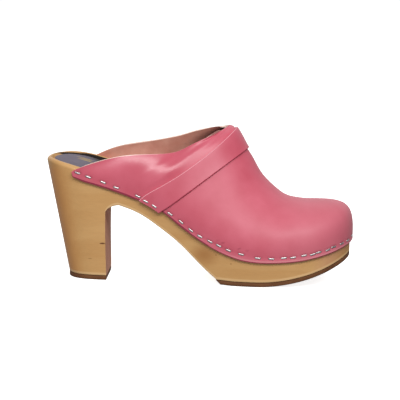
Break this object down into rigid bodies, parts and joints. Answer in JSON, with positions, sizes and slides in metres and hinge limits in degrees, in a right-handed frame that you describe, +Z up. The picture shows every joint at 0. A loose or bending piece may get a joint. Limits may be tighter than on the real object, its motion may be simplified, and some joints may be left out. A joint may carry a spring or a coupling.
{
  "type": "high-heeled wooden clog",
  "caption": "Backless clog with a one-piece wooden platform sole and block heel, a closed-toe leather upper stapled round its edge and a slanting strap over the instep.",
  "frame": {"origin": "middle of the outer box, on the floor the shoe stands on", "axes": "+X towards the toe, +Z up, -Y the outer side of the right foot"},
  "size_m": [0.2451, 0.094, 0.1228],
  "materials": {
    "sole_wood": "satin",
    "tread_rubber": "matte",
    "upper_leather": "smooth, semi-gloss",
    "sock_cloth": "matte",
    "staple_steel": "bright wire"
  },
  "bodies": {
    "root": {"wood_sole": "sole_wood", "heel_tread": "tread_rubber", "forefoot_tread": "tread_rubber", "upper": "upper_leather", "instep_strap": "upper_leather", "heel_sock": "sock_cloth"}
  },
  "joints": []
}
